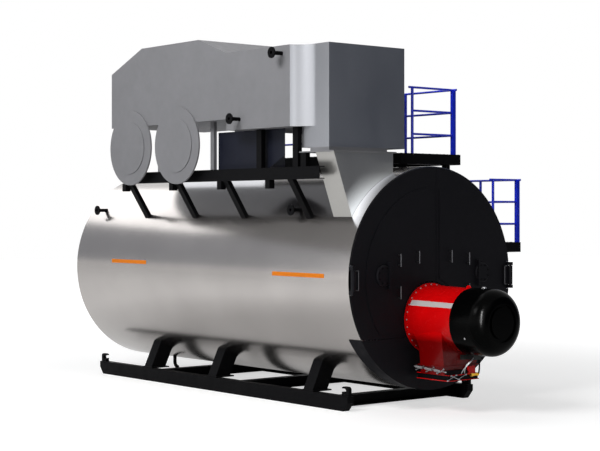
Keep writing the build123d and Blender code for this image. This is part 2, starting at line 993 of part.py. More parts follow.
def nozzle(x, start_y, end_y, z):
    """Flanged and bored pipe stub that points to the strut side."""
    at = Pos(x, z)
    stub = along_y(at * Circle(nozzle_pipe_radius), end_y, start_y)
    stub += along_y(at * Circle(nozzle_flange_radius), end_y, end_y + nozzle_flange_thickness)
    stub -= along_y(at * Circle(nozzle_bore_radius), end_y, start_y)
    for i in range(nozzle_bolt_count):
        angle = 2 * pi * (i + 0.5) / nozzle_bolt_count
        hole = Pos(
            x + nozzle_bolt_circle / 2 * cos(angle),
            z + nozzle_bolt_circle / 2 * sin(angle),
        ) * Circle(nozzle_bolt_radius)
        stub -= along_y(hole, end_y, end_y + nozzle_flange_thickness)
    return stub


def economiser_nozzle_set():
    stubs = []
    for back, rise in economiser_nozzles:
        stubs.append(nozzle(shell_front - back, economiser_near, economiser_near - nozzle_length, crown + rise))
    return Compound(children=stubs)


def shell_nozzle_set():
    side = sqrt(shell_radius ** 2 - shell_nozzle_rise ** 2)
    stubs = []
    for x in (shell_back + shell_nozzle_rear, shell_front - shell_nozzle_front):
        stub = nozzle(x, 0, -side - nozzle_length, axis_height + shell_nozzle_rise)
        stubs.append((stub - shell_space()).solids().sort_by(Axis.Y)[0])
    return Compound(children=stubs)


def drain_pipe():
    """Blow-down elbow under the drum, bent towards the burner end."""
    x = shell_back + drain_rear
    low = ground_clearance - drain_drop
    pipe = rod((x, drain_y, low), (x, drain_y, axis_height), drain_radius) - shell_space()
    pipe = pipe.solids().sort_by(Axis.Z)[0]
    section = Plane(origin=(x, drain_y, low), z_dir=(0, 0, 1)) * Circle(drain_radius)
    turn = Axis((x + drain_bend, drain_y, low), (0, 1, 0))
    return pipe + revolve(section, turn, -90)


def both_sides(name, right):
    """The right-hand piece and its mirror image, as two nodes."""
    return {name + "_right": right, name + "_left": mirrored(right)}


nodes = {
    "cross_beams": cross_beams(),
    "lifting_hooks": lifting_hooks(),
    "shell_drum": shell_drum(),
    "smoke_box": smoke_box(),
    "rear_plate": rear_plate(),
    "rear_cover": rear_cover(),
    "tube_plate": tube_plate(),
    "burner_throat": throat(),
    "lower_front": lower_front(),
    "door_left": door_leaf(-1),
    "door_right": door_leaf(1),
    "burner_flange": burner_flange(),
    "burner_housing": burner_housing(),
    "burner_cover": burner_cover(),
    "burner_tray": burner_tray(),
    "valve_box": valve_box(),
    "servo_block": servo_block(),
    "control_box": control_box(),
    "transition_duct": transition_duct(),
    "transition_flange": transition_flange(),
    "economiser_inlet": economiser_inlet(),
    "economiser_body": economiser_body(),
    "rear_duct": rear_duct(),
    "round_cover_rear": round_cover(round_cover_back[0]),
    "round_cover_front": round_cover(round_cover_back[1]),
    "hopper": hopper(),
    "near_beam": near_beam(),
    "cross_members": cross_members(),
    "struts": struts(),
    "economiser_posts": economiser_posts(),
    "duct_supports": duct_supports(),
    "upper_deck": upper_deck(),
    "upper_deck_legs": upper_deck_legs(),
    "upper_railing": upper_railing(),
    "lower_deck": lower_deck(),
    "lower_deck_brackets": lower_deck_brackets(),
    "lower_railing": lower_railing(),
    "economiser_nozzles": economiser_nozzle_set(),
    "shell_nozzles": shell_nozzle_set(),
    "drain_pipe": drain_pipe(),
}
nodes.update(both_sides("runner", runner_right()))
nodes.update(both_sides("saddles", saddles_right()))
nodes.update(both_sides("hinge_strap", hinge_strap_right()))
nodes.update(both_sides("hinge_bracket", hinge_bracket_right()))
nodes.update(both_sides("hatch", hatch_right()))
nodes.update(both_sides("door_handles", handles_right()))

os.makedirs("parts", exist_ok=True)
for name, shape in nodes.items():
    export_step(shape, "parts/" + name + ".step")
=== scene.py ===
from math import cos, pi, radians, sin, sqrt

import bmesh
import bpy
from bpy.props import BoolProperty, FloatProperty, FloatVectorProperty, IntProperty, PointerProperty
from mathutils import Matrix, Vector


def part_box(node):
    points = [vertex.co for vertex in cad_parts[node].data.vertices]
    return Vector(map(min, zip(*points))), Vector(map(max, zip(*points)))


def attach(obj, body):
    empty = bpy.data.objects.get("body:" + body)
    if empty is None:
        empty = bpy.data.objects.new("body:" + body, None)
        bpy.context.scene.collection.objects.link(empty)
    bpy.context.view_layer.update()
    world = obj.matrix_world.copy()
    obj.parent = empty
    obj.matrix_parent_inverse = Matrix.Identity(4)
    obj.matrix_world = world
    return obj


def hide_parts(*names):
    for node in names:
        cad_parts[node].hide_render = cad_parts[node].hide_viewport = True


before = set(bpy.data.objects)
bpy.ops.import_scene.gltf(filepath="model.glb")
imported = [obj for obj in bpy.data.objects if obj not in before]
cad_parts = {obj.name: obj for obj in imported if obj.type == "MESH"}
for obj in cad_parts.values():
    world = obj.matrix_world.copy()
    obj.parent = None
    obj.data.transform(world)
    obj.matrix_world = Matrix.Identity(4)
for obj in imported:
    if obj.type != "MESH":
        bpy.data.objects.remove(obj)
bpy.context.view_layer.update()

bl_info = {
    "name": "Fire-tube boiler dressing",
    "version": (1, 0, 0),
    "blender": (4, 5, 0),
    "location": "View3D > Sidebar > Boiler",
    "description": "Finishes, fittings and studio for a skid-mounted fire-tube boiler",
    "category": "Object",
}

# Places read from the frame

drum_low, drum_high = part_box("shell_drum")
front_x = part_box("lower_front")[1].x
drum_radius = (drum_high.y - drum_low.y) / 2
axis_z = (drum_low.z + drum_high.z) / 2
cover_low, cover_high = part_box("burner_cover")
burner_y = (cover_low.y + cover_high.y) / 2
burner_z = (cover_low.z + cover_high.z) / 2
cover_radius = (cover_high.z - cover_low.z) / 2
ring_low, ring_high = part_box("burner_flange")
flange_radius = (ring_high.z - ring_low.z) / 2
tray_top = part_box("servo_block")[0].z


# Sizes and colours that a user would change

def colour_property(name, description, default):
    """A colour that a user may change."""
    return FloatVectorProperty(
        name=name, description=description, subtype="COLOR", min=0, max=1, default=default)


def length_property(name, description, least, default):
    """A length in metres that a user may change."""
    return FloatProperty(name=name, description=description, unit="LENGTH", min=least, default=default)


def power_property(name, description, default):
    """The power of a lamp in watts."""
    return FloatProperty(name=name, description=description, unit="POWER", default=default)


class BoilerFinishes(bpy.types.PropertyGroup):
    """Paint and metal colours of the boiler."""

    cladding: colour_property(
        "Cladding", "Brushed sheet round the drum", (0.384, 0.364, 0.352))
    frame_black: colour_property(
        "Frame black", "Satin paint of skid, frames and decks", (0.0022, 0.0022, 0.0028))
    door_black: colour_property(
        "Door black", "Heat-proof paint of the front plate and door leaves", (0.0050, 0.0048, 0.0068))
    duct_grey: colour_property(
        "Duct grey", "Matt paint of economiser and ducts", (0.205, 0.205, 0.217))
    transition_grey: colour_property(
        "Transition grey", "Pale sheet of the flue transition", (0.34, 0.334, 0.32))
    # The hopper's navy is made near-black as painted shade under the economiser box.
    hopper_navy: colour_property(
        "Hopper navy and shade", "Dark paint of the ash hopper", (0.0080, 0.0094, 0.0178))
    # The rails' blue is written brighter than their paint, as painted light against the shade they stand in.
    rail_blue: colour_property(
        "Rail blue with painted light", "Gloss paint of the guard rails", (0.010, 0.032, 0.80))
    burner_red: colour_property(
        "Burner red", "Gloss enamel of the burner", (0.70, 0.001, 0.002))
    burner_black: colour_property(
        "Burner black", "Gloss moulding of the burner cover", (0.0007, 0.0008, 0.0008))
    stripe_orange: colour_property(
        "Stripe orange", "Painted stripes on the drum", (0.81, 0.212, 0.005))


class BoilerFittings(bpy.types.PropertyGroup):
    """Sizes of the small fittings."""

    flange_bolts: IntProperty(
        name="Flange bolts", description="Bolts round the burner flange", min=4, default=28)
    bolt_width: length_property(
        "Bolt width", "Width of a bolt head on the burner flange", 0.005, 0.016)
    tube_pitch: length_property(
        "Tube pitch", "Distance between the middles of neighbouring fire tubes", 0.06, 0.118)
    tube_radius: length_property(
        "Tube radius", "Outer radius of a fire tube", 0.01, 0.038)
    tread_pitch: length_property(
        "Tread pitch", "Distance between the raised marks of the tread plate", 0.03, 0.075)
    stripe_height: length_property(
        "Stripe height", "Height of the painted stripes on the drum", 0.01, 0.062)


class BoilerStudio(bpy.types.PropertyGroup):
    """Camera, lamps and floor."""

    key_power: power_property("Key power", "Large lamp at the strut side", 2800)
    top_power: power_property("Top power", "Broad lamp overhead", 520)
    front_power: power_property("Front power", "Weak lamp at the burner end", 60)
    rim_power: power_property("Rim power", "Lamp that only the burner cover mirrors", 10500)
    lens: FloatProperty(
        name="Lens", description="Focal length of the camera in millimetres", default=89.44)
    show_floor: BoolProperty(name="Floor", description="Pale floor under the skid", default=True)


# Node helpers

class Nodes:
    """A node tree and short ways to add and join its nodes."""

    def __init__(self, tree):
        self.tree = tree

    def link(self, start, end):
        """Joins an output to an input."""
        self.tree.links.new(start, end)

    def set(self, socket, value):
        """Links an input to another node's output, or gives it a value of its own."""
        if isinstance(value, bpy.types.NodeSocket):
            self.link(value, socket)
        else:
            socket.default_value = value

    def add(self, kind, settings=None, **inputs):
        """Adds a node, sets its own settings, and sets or links its inputs by name."""
        node = self.tree.nodes.new(kind)
        for key, value in (settings or {}).items():
            setattr(node, key, value)
        for key, value in inputs.items():
            self.set(node.inputs[key.replace("_", " ")], value)
        return node

    def math(self, operation, *values):
        """The result of a sum, product or comparison of values."""
        node = self.add("ShaderNodeMath", {"operation": operation})
        for socket, value in zip(node.inputs, values):
            self.set(socket, value)
        return node.outputs[0]

    def vector_math(self, operation, *vectors):
        """The outputs of a node that works on vectors."""
        node = self.add("ShaderNodeVectorMath", {"operation": operation})
        for socket, vector in zip(node.inputs, vectors):
            self.set(socket, vector)
        return node.outputs

    def end_in_mix(self, share, first, second, output):
        """Two shaders mixed by a share, as the tree's result."""
        mix = self.add("ShaderNodeMixShader", Fac=share)
        self.link(first, mix.inputs[1])
        self.link(second, mix.inputs[2])
        self.link(mix.outputs["Shader"], self.tree.nodes[output].inputs["Surface"])


class Finish(Nodes):
    """A material, its shader and short ways to vary its colour, gloss and surface."""

    def __init__(self, name, colour, roughness, metallic=0.0, specular=0.5, coat=0.0, coat_roughness=0.1):
        self.material = bpy.data.materials.new(name)
        self.material.use_nodes = True
        self.material.diffuse_color = (*colour, 1)
        super().__init__(self.material.node_tree)
        self.shader = self.tree.nodes["Principled BSDF"]
        self.shader.inputs["Base Color"].default_value = (*colour, 1)
        self.shader.inputs["Roughness"].default_value = roughness
        self.shader.inputs["Metallic"].default_value = metallic
        self.shader.inputs["Specular IOR Level"].default_value = specular
        self.shader.inputs["Coat Weight"].default_value = coat
        self.shader.inputs["Coat Roughness"].default_value = coat_roughness
        self.place = self.add("ShaderNodeTexCoord").outputs["Object"]

    def noise(self, scale, detail=3.0, roughness=0.55, stretch=(1, 1, 1)):
        """A noise value over Object coordinates, stretched along the axes."""
        mapping = self.add("ShaderNodeMapping", Vector=self.place, Scale=stretch)
        texture = self.add(
            "ShaderNodeTexNoise", Vector=mapping.outputs["Vector"],
            Scale=scale, Detail=detail, Roughness=roughness)
        return texture.outputs["Fac"]

    def spread(self, value, low, high, from_low=0.3, from_high=0.7):
        """A value mapped from one range to another, and held at the ends."""
        node = self.add(
            "ShaderNodeMapRange", Value=value,
            From_Min=from_low, From_Max=from_high, To_Min=low, To_Max=high)
        return node.outputs["Result"]

    def blend(self, factor, first, second):
        """Two colours mixed by a factor."""
        node = self.add("ShaderNodeMix", {"data_type": "RGBA"})
        self.link(factor, node.inputs["Factor"])
        # Inputs 6 and 7 and output 2 are the colour ones
        for socket, value in ((node.inputs[6], first), (node.inputs[7], second)):
            self.set(socket, value if isinstance(value, bpy.types.NodeSocket) else (*value, 1))
        return node.outputs[2]

    def upward(self):
        """How far a face looks up, from 0 to 1, for dust that settles on it."""
        normal = self.add("ShaderNodeNewGeometry").outputs["Normal"]
        split = self.add("ShaderNodeSeparateXYZ", Vector=normal)
        return self.spread(split.outputs["Z"], 0.0, 1.0, 0.5, 1.0)

    def colour(self, value):
        """Lets a node give the colour."""
        self.link(value, self.shader.inputs["Base Color"])

    def roughness(self, value):
        """Lets a node give the roughness."""
        self.link(value, self.shader.inputs["Roughness"])

    def bump(self, height, strength, distance):
        """Fine relief from a height value."""
        node = self.add("ShaderNodeBump", Height=height, Strength=strength, Distance=distance)
        self.link(node.outputs["Normal"], self.shader.inputs["Normal"])


def shade(colour, factor):
    """A colour made darker or lighter."""
    return tuple(min(1.0, c * factor) for c in colour)


def paint(name, colour, roughness, specular=0.3, dust=0.06, peel=260.0):
    """Sprayed paint: faint cloudiness, settled dust, uneven gloss and orange peel."""
    dust_colour = (0.24, 0.23, 0.21)
    made = Finish(name, colour, roughness, specular=specular)
    cloud = made.spread(made.noise(1.7, 4), 0.0, 1.0)
    body = made.blend(cloud, shade(colour, 0.95), shade(colour, 1.05))
    grime = made.spread(made.noise(6.0, 6, 0.65), 0.0, dust)
    settled = made.math("MULTIPLY", made.upward(), grime)
    made.colour(made.blend(settled, body, dust_colour))
    made.roughness(made.spread(made.noise(9.0, 5), roughness * 0.85, min(1.0, roughness * 1.2)))
    made.bump(made.noise(peel, 2), 0.08, 0.001)
    return made.material


def brushed(name, colour, roughness):
    """Brushed sheet: fine lines along the rolling direction and a soft uneven polish."""
    grain = (0.6, 90, 90)
    made = Finish(name, colour, roughness, metallic=1.0)
    lines = made.noise(14.0, 5, 0.6, grain)
    cloud = made.noise(0.8, 3)
    body = made.blend(made.spread(cloud, 0.0, 1.0), shade(colour, 0.93), shade(colour, 1.06))
    made.colour(made.blend(made.spread(lines, 0.0, 0.28), body, shade(colour, 0.78)))
    made.roughness(made.spread(lines, roughness * 0.85, roughness * 1.2))
    made.bump(lines, 0.05, 0.0008)
    return made.material


def mill_plate(name, colour):
    """Bare rolled plate with scale and rust clouds."""
    made = Finish(name, colour, 0.72, metallic=0.55)
    scale = made.spread(made.noise(5.0, 8, 0.7), 0.0, 1.0)
    body = made.blend(scale, shade(colour, 0.7), shade(colour, 1.35))
    rust = made.spread(made.noise(2.2, 9, 0.75), 0.0, 0.55, 0.52, 0.68)
    rust_brown = (0.11, 0.045, 0.022)
    made.colour(made.blend(rust, body, rust_brown))
    made.roughness(made.spread(made.noise(40.0, 4), 0.55, 0.85))
    made.bump(made.noise(70.0, 6), 0.25, 0.002)
    return made.material


def sheet(name, colour):
    """Bare galvanised sheet: soft reflections, faint spangle and rolling lines."""
    made = Finish(name, colour, 0.34, metallic=0.85, specular=0.3)
    spangle = made.spread(made.noise(24.0, 3, 0.6), 0.0, 0.35)
    lines = made.noise(2.0, 3, 0.5, (1, 1, 0.3))
    body = made.blend(made.spread(lines, 0.0, 1.0), shade(colour, 0.98), shade(colour, 1.02))
    made.colour(made.blend(spangle, body, shade(colour, 0.92)))
    made.roughness(made.spread(lines, 0.32, 0.36))
    made.bump(spangle, 0.03, 0.0006)
    return made.material


def bright_bar(name, colour, roughness):
    """Turned or plated steel with fine tool marks."""
    made = Finish(name, colour, roughness, metallic=1.0)
    marks = made.noise(120.0, 4, 0.6, (1, 1, 6))
    made.colour(made.blend(made.spread(marks, 0.0, 0.4), colour, shade(colour, 0.6)))
    made.roughness(made.spread(marks, roughness * 0.8, roughness * 1.5))
    made.bump(marks, 0.06, 0.0004)
    return made.material


def gloss(name, colour, roughness, coat, specular, foot=1.0):
    """Enamel or moulded gloss: even colour, soft waves, fine scuffs, and painted shade that darkens the foot
    by the foot factor.
    """
    cloud = 0.08
    shade_full_height = burner_z - 0.30
    shade_clear_height = burner_z - 0.18
    made = Finish(name, colour, roughness, specular=specular, coat=coat, coat_roughness=0.06)
    wave = made.spread(made.noise(2.6, 2), 0.0, 1.0)
    body = made.blend(wave, shade(colour, 1 - cloud), shade(colour, 1 + cloud))
    scuff = made.spread(made.noise(30.0, 7, 0.7, (1, 3, 3)), 0.0, 0.07, 0.62, 0.75)
    wear_and_painted_shade = made.blend(scuff, body, shade(colour, 0.8))
    # Painted shade: below the burner's axis the colour darkens downwards, to the foot factor at the lowest
    # height.
    if foot < 1.0:
        height = made.add("ShaderNodeSeparateXYZ", Vector=made.place).outputs["Z"]
        depth = made.spread(height, 1.0, 0.0, shade_full_height, shade_clear_height)
        wear_and_painted_shade = made.blend(depth, wear_and_painted_shade, shade(colour, foot))
    made.colour(wear_and_painted_shade)
    made.roughness(made.spread(made.noise(12.0, 4), roughness * 0.9, roughness * 1.15))
    made.bump(made.noise(3.0, 1), 0.02, 0.002)
    return made.material


finish = {}


def finish_all(colours):
    """Makes every finish once."""
    finish["cladding"] = brushed("brushed cladding", colours.cladding, 0.21)
    finish["frame"] = paint("satin frame black", colours.frame_black, 0.5, specular=0.04, dust=0.03)
    finish["door"] = paint(
        "heat-proof door black", colours.door_black, 0.55, specular=0.08, dust=0.04, peel=120.0)
    finish["duct"] = paint("matt duct grey", colours.duct_grey, 0.6, specular=0.25, dust=0.1)
    finish["inlet"] = sheet("inlet sheet", (0.26, 0.266, 0.283))
    # The pale band is a painted highlight on the burner housing.
    finish["band"] = paint("painted highlight band", (0.60, 0.56, 0.55), 0.3, specular=0.3, dust=0.03)
    finish["transition"] = sheet("transition sheet", colours.transition_grey)
    # Navy paint, partly painted shade under the economiser box.
    finish["hopper"] = paint("hopper navy with painted shade", colours.hopper_navy, 0.45, specular=0.1)
    # Blue paint brightened as painted light for the rails' shade.
    finish["rail"] = paint("gloss rail blue with painted light", colours.rail_blue, 0.32, specular=0.25, dust=0.04)
    finish["red"] = gloss("gloss burner red", colours.burner_red, 0.25, coat=0.12, specular=0.08)
    # The housing's foot gets painted shade, darkened to 0.27 of its red.
    finish["housing"] = gloss(
        "gloss housing red with painted shade", colours.burner_red, 0.25, coat=0.12, specular=0.08, foot=0.27)
    finish["gloss_black"] = gloss("gloss cover black", colours.burner_black, 0.2, coat=0.0, specular=0.02)
    finish["stripe"] = paint("stripe orange", colours.stripe_orange, 0.45, specular=0.1, dust=0.03)
    finish["plate"] = mill_plate("bare boiler plate", (0.09, 0.085, 0.08))
    finish["bar"] = bright_bar("plain bar steel", (0.075, 0.075, 0.08), 0.36)
    finish["bolt"] = bright_bar("plated bolts", (0.55, 0.55, 0.56), 0.26)
    # Sooty plate for the bore discs, which also stand in as painted shade of the open tubes.
    finish["bore"] = mill_plate("sooty tube bore with painted shade", (0.012, 0.011, 0.01))
    finish["cabinet"] = paint("cabinet grey", (0.030, 0.033, 0.031), 0.45, specular=0.15)
    finish["conduit"] = bright_bar("conduit", (0.42, 0.42, 0.43), 0.34)
    finish["brass"] = bright_bar("brass fitting", (0.75, 0.45, 0.05), 0.28)
    finish["linkage"] = bright_bar("linkage steel", (0.34, 0.34, 0.35), 0.3)


node_finishes = {
    "cladding": ("shell_drum", "smoke_box"),
    "door": ("lower_front", "door_left", "door_right", "hinge_strap_left", "hinge_strap_right", "hatch_left",
             "hatch_right", "hinge_bracket_left", "hinge_bracket_right", "rear_plate", "rear_cover"),
    "frame": ("runner_left", "runner_right", "cross_beams", "lifting_hooks", "saddles_left", "saddles_right",
              "near_beam", "cross_members", "struts", "economiser_posts", "upper_deck", "upper_deck_legs",
              "lower_deck", "lower_deck_brackets", "economiser_nozzles", "shell_nozzles", "drain_pipe",
              "valve_box", "servo_block"),
    "plate": ("tube_plate", "burner_throat"),
    "bar": ("door_handles_left", "door_handles_right"),
    "red": ("burner_flange", "burner_tray"),
    "housing": ("burner_housing",),
    "gloss_black": ("burner_cover",),
    "duct": ("transition_flange", "economiser_body", "rear_duct", "round_cover_rear",
             "round_cover_front", "duct_supports"),
    "transition": ("transition_duct",),
    "inlet": ("economiser_inlet",),
    "hopper": ("hopper",),
    "rail": ("upper_railing", "lower_railing"),
    "cabinet": ("control_box",),
}


# Mesh helpers

def keep(name, mesh, material, body):
    """A finished piece: its mesh in the row frame, with one material, riding on a body."""
    mesh.name = name
    mesh.materials.clear()
    mesh.materials.append(finish[material])
    piece = bpy.data.objects.new(name, mesh)
    bpy.context.scene.collection.objects.link(piece)
    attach(piece, body)
    return piece


def plain_mesh(name, form):
    """A plain mesh from a bmesh whose faces already point the right way."""
    mesh = bpy.data.meshes.new(name)
    form.to_mesh(mesh)
    form.free()
    return mesh


def from_bmesh(form):
    """A plain mesh from a bmesh, its faces turned outwards."""
    bmesh.ops.recalc_face_normals(form, faces=form.faces)
    return plain_mesh("form", form)


def strip_faces(form, rows, outward=True):
    """Joins rows of two vertices into a strip of faces."""
    for first, second in zip(rows, rows[1:]):
        face = (first[0], first[1], second[1], second[0])
        form.faces.new(face if outward else face[::-1])


def evaluated_mesh(holder):
    """The plain mesh of an object with its curve or modifier worked out."""
    return bpy.data.meshes.new_from_object(holder.evaluated_get(bpy.context.evaluated_depsgraph_get()))


def tube(lines, radius, rounding=4):
    """Bent round bars through lists of points, as one mesh."""
    curve = bpy.data.curves.new("bar", "CURVE")
    curve.dimensions = "3D"
    curve.bevel_depth = radius
    curve.bevel_resolution = rounding
    curve.use_fill_caps = True
    curve.resolution_u = 8
    for points in lines:
        spline = curve.splines.new("NURBS" if len(points) > 2 else "POLY")
        spline.points.add(len(points) - 1)
        for point, place in zip(spline.points, points):
            point.co = (*place, 1)
        if spline.type == "NURBS":
            spline.order_u = 3
            spline.use_endpoint_u = True
    holder = bpy.data.objects.new("bar", curve)
    bpy.context.scene.collection.objects.link(holder)
    mesh = evaluated_mesh(holder)
    bpy.data.objects.remove(holder)
    bpy.data.curves.remove(curve)
    return mesh


def add_box(form, low, high, bevel):
    """Adds a box with softened edges to a bmesh."""
    size = Vector(high) - Vector(low)
    middle = (Vector(high) + Vector(low)) / 2
    place = Matrix.Translation(middle) @ Matrix.Diagonal((*size, 1))
    made = bmesh.ops.create_cube(form, size=1, matrix=place)
    edges = list({edge for vert in made["verts"] for edge in vert.link_edges})
    bmesh.ops.bevel(form, geom=edges, offset=bevel, segments=2, profile=0.5, affect="EDGES")


def ring_places(middle, radius, count, facing, turn=0.0):
    """Places round a circle in Y and Z, each with the way that it faces."""
    places = []
    for i in range(count):
        angle = 2 * pi * i / count + turn
        spoke = Vector((0, radius * cos(angle), radius * sin(angle)))
        places.append((Vector(middle) + spoke, Vector(facing)))
    return places


# Geometry Nodes

def new_tree(name, inputs):
    """An empty node tree with named inputs: (name, socket kind, default)."""
    tree = bpy.data.node_groups.new(name, "GeometryNodeTree")
    tree.interface.new_socket("Geometry", in_out="INPUT", socket_type="NodeSocketGeometry")
    for title, kind, default in inputs:
        socket = tree.interface.new_socket(title, in_out="INPUT", socket_type=kind)
        if default is not None:
            socket.default_value = default
    tree.interface.new_socket("Geometry", in_out="OUTPUT", socket_type="NodeSocketGeometry")
    return tree


class Steps(Nodes):
    """A geometry tree, its named inputs and its common last steps."""

    def __init__(self, tree):
        super().__init__(tree)
        self.inputs = self.add("NodeGroupInput").outputs

    def end(self, points, instance, rotation):
        """Instances on points, realized, with the finish set, as the tree's result."""
        placed = self.add("GeometryNodeInstanceOnPoints", Points=points, Instance=instance, Rotation=rotation)
        real = self.add("GeometryNodeRealizeInstances", Geometry=placed.outputs["Instances"])
        painted = self.add(
            "GeometryNodeSetMaterial", Geometry=real.outputs["Geometry"], Material=self.inputs["Finish"])
        self.add("NodeGroupOutput", Geometry=painted.outputs["Geometry"])


def bolt_tree():
    """Hexagon heads on washers at the points, each along the point's own facing, turned at random."""
    tree = new_tree("bolt heads", (
        ("Width", "NodeSocketFloat", 0.024),
        ("Height", "NodeSocketFloat", 0.012),
        ("Washer", "NodeSocketFloat", 0.036),
        ("Finish", "NodeSocketMaterial", None),
    ))
    steps = Steps(tree)
    half = steps.math("MULTIPLY", steps.inputs["Width"], 0.5)
    washer_half = steps.math("MULTIPLY", steps.inputs["Washer"], 0.5)
    rise = steps.math("MULTIPLY", steps.inputs["Height"], 0.5)
    thin = steps.math("MULTIPLY", steps.inputs["Height"], 0.4)
    head = steps.add("GeometryNodeMeshCylinder", Vertices=6, Radius=half, Depth=steps.inputs["Height"])
    washer = steps.add("GeometryNodeMeshCylinder", Vertices=12, Radius=washer_half, Depth=thin)
    lift = steps.add("ShaderNodeCombineXYZ", Z=rise)
    lifted = steps.add(
        "GeometryNodeTransform", Geometry=head.outputs["Mesh"], Translation=lift.outputs["Vector"])
    bolt = steps.add("GeometryNodeJoinGeometry")
    tree.links.new(lifted.outputs["Geometry"], bolt.inputs["Geometry"])
    tree.links.new(washer.outputs["Mesh"], bolt.inputs["Geometry"])
    facing = steps.add("GeometryNodeInputNamedAttribute", {"data_type": "FLOAT_VECTOR"}, Name="facing")
    aligned = steps.add(
        "FunctionNodeAlignRotationToVector", {"axis": "Z"}, Vector=facing.outputs["Attribute"])
    spin = steps.add("FunctionNodeRandomValue", {"data_type": "FLOAT"}, Seed=7)
    # Input 3 is the largest plain number
    spin.inputs[3].default_value = pi / 3
    turn = steps.add("ShaderNodeCombineXYZ", Z=spin.outputs[1])
    turned = steps.add(
        "FunctionNodeRotateRotation", {"rotation_space": "LOCAL"},
        Rotation=aligned.outputs["Rotation"], Rotate_By=turn.outputs["Vector"])
    steps.end(steps.inputs["Geometry"], bolt.outputs["Geometry"], turned.outputs["Rotation"])
    return tree


def tube_tree(name, solid):
    """Fire-tube ends in staggered rows: a ring for each tube wall, or a dark disc for its bore, with soot and
    painted shade of the open hole.
    """
    tree = new_tree(name, (
        ("Pitch", "NodeSocketFloat", 0.118),
        ("Radius", "NodeSocketFloat", 0.038),
        ("Wall", "NodeSocketFloat", 0.004),
        ("Stand", "NodeSocketFloat", 0.012),
        ("Plate Radius", "NodeSocketFloat", 1.4),
        ("Furnace Radius", "NodeSocketFloat", 0.6),
        ("Furnace Place", "NodeSocketVector", (0, 0, 0)),
        ("Place", "NodeSocketVector", (0, 0, 0)),
        ("Finish", "NodeSocketMaterial", None),
    ))
    steps = Steps(tree)
    pitch = steps.inputs["Pitch"]
    row_pitch = steps.math("MULTIPLY", pitch, sqrt(3) / 2)
    count = 31
    sides = 16
    across = steps.math("MULTIPLY", pitch, count - 1)
    up = steps.math("MULTIPLY", row_pitch, count - 1)
    grid = steps.add("GeometryNodeMeshGrid", Size_X=across, Size_Y=up, Vertices_X=count, Vertices_Y=count)
    spot = steps.add("GeometryNodeInputPosition").outputs["Position"]
    split = steps.add("ShaderNodeSeparateXYZ", Vector=spot)
    row = steps.math("ROUND", steps.math("DIVIDE", split.outputs["Y"], row_pitch))
    odd = steps.math("FLOORED_MODULO", row, 2.0)
    shift = steps.math("MULTIPLY", steps.math("MULTIPLY", odd, pitch), 0.5)
    offset = steps.add("ShaderNodeCombineXYZ", X=shift)
    rows = steps.add(
        "GeometryNodeSetPosition", Geometry=grid.outputs["Mesh"], Offset=offset.outputs["Vector"])
    upright = steps.add(
        "GeometryNodeTransform", Geometry=rows.outputs["Geometry"], Rotation=(pi / 2, 0, pi / 2))
    here = steps.add("GeometryNodeInputPosition").outputs["Position"]
    from_middle = steps.vector_math("LENGTH", here)["Value"]
    from_furnace = steps.vector_math("DISTANCE", here, steps.inputs["Furnace Place"])["Value"]
    outside = steps.math("GREATER_THAN", from_middle, steps.inputs["Plate Radius"])
    inside = steps.math("LESS_THAN", from_furnace, steps.inputs["Furnace Radius"])
    drop = steps.math("MAXIMUM", outside, inside)
    kept = steps.add(
        "GeometryNodeDeleteGeometry", {"domain": "POINT"},
        Geometry=upright.outputs["Geometry"], Selection=drop)
    moved = steps.add(
        "GeometryNodeTransform", Geometry=kept.outputs["Geometry"], Translation=steps.inputs["Place"])
    # The solid disc is a dark cap, painted shade where the tube's open bore would be.
    if solid:
        disc = steps.add(
            "GeometryNodeMeshCircle", {"fill_type": "NGON"}, Vertices=sides, Radius=steps.inputs["Radius"])
        shape = disc.outputs["Mesh"]
    else:
        path = steps.add(
            "GeometryNodeCurvePrimitiveCircle", Resolution=sides, Radius=steps.inputs["Radius"])
        section = steps.add(
            "GeometryNodeCurvePrimitiveQuadrilateral",
            Width=steps.inputs["Wall"], Height=steps.inputs["Stand"])
        swept = steps.add(
            "GeometryNodeCurveToMesh", Curve=path.outputs["Curve"], Profile_Curve=section.outputs["Curve"])
        shape = swept.outputs["Mesh"]
    steps.end(moved.outputs["Geometry"], shape, (0, pi / 2, 0))
    return tree


def tread_tree():
    """Raised lozenges of a tread plate, turned to and fro from one to the next."""
    tree = new_tree("tread lozenges", (
        ("Length", "NodeSocketFloat", 1.0),
        ("Width", "NodeSocketFloat", 1.0),
        ("Columns", "NodeSocketInt", 10),
        ("Rows", "NodeSocketInt", 10),
        ("Mark", "NodeSocketFloat", 0.02),
        ("Place", "NodeSocketVector", (0, 0, 0)),
        ("Finish", "NodeSocketMaterial", None),
    ))
    mark_height = 0.004
    top_share = 0.6
    slim = (1.0, 0.34, 1.0)
    steps = Steps(tree)
    grid = steps.add(
        "GeometryNodeMeshGrid", Size_X=steps.inputs["Length"], Size_Y=steps.inputs["Width"],
        Vertices_X=steps.inputs["Columns"], Vertices_Y=steps.inputs["Rows"])
    moved = steps.add(
        "GeometryNodeTransform", Geometry=grid.outputs["Mesh"], Translation=steps.inputs["Place"])
    top = steps.math("MULTIPLY", steps.inputs["Mark"], top_share)
    mark = steps.add(
        "GeometryNodeMeshCone", Vertices=4, Radius_Top=top,
        Radius_Bottom=steps.inputs["Mark"], Depth=mark_height)
    thin = steps.add("GeometryNodeTransform", Geometry=mark.outputs["Mesh"], Scale=slim)
    number = steps.add("GeometryNodeInputIndex").outputs["Index"]
    rows = steps.inputs["Rows"]
    column = steps.math("FLOOR", steps.math("DIVIDE", number, rows))
    parity = steps.math("FLOORED_MODULO", steps.math("ADD", number, column), 2.0)
    angle = steps.math("MULTIPLY_ADD", parity, pi / 2, pi / 4)
    turn = steps.add("ShaderNodeCombineXYZ", Z=angle)
    steps.end(moved.outputs["Geometry"], thin.outputs["Geometry"], turn.outputs["Vector"])
    return tree


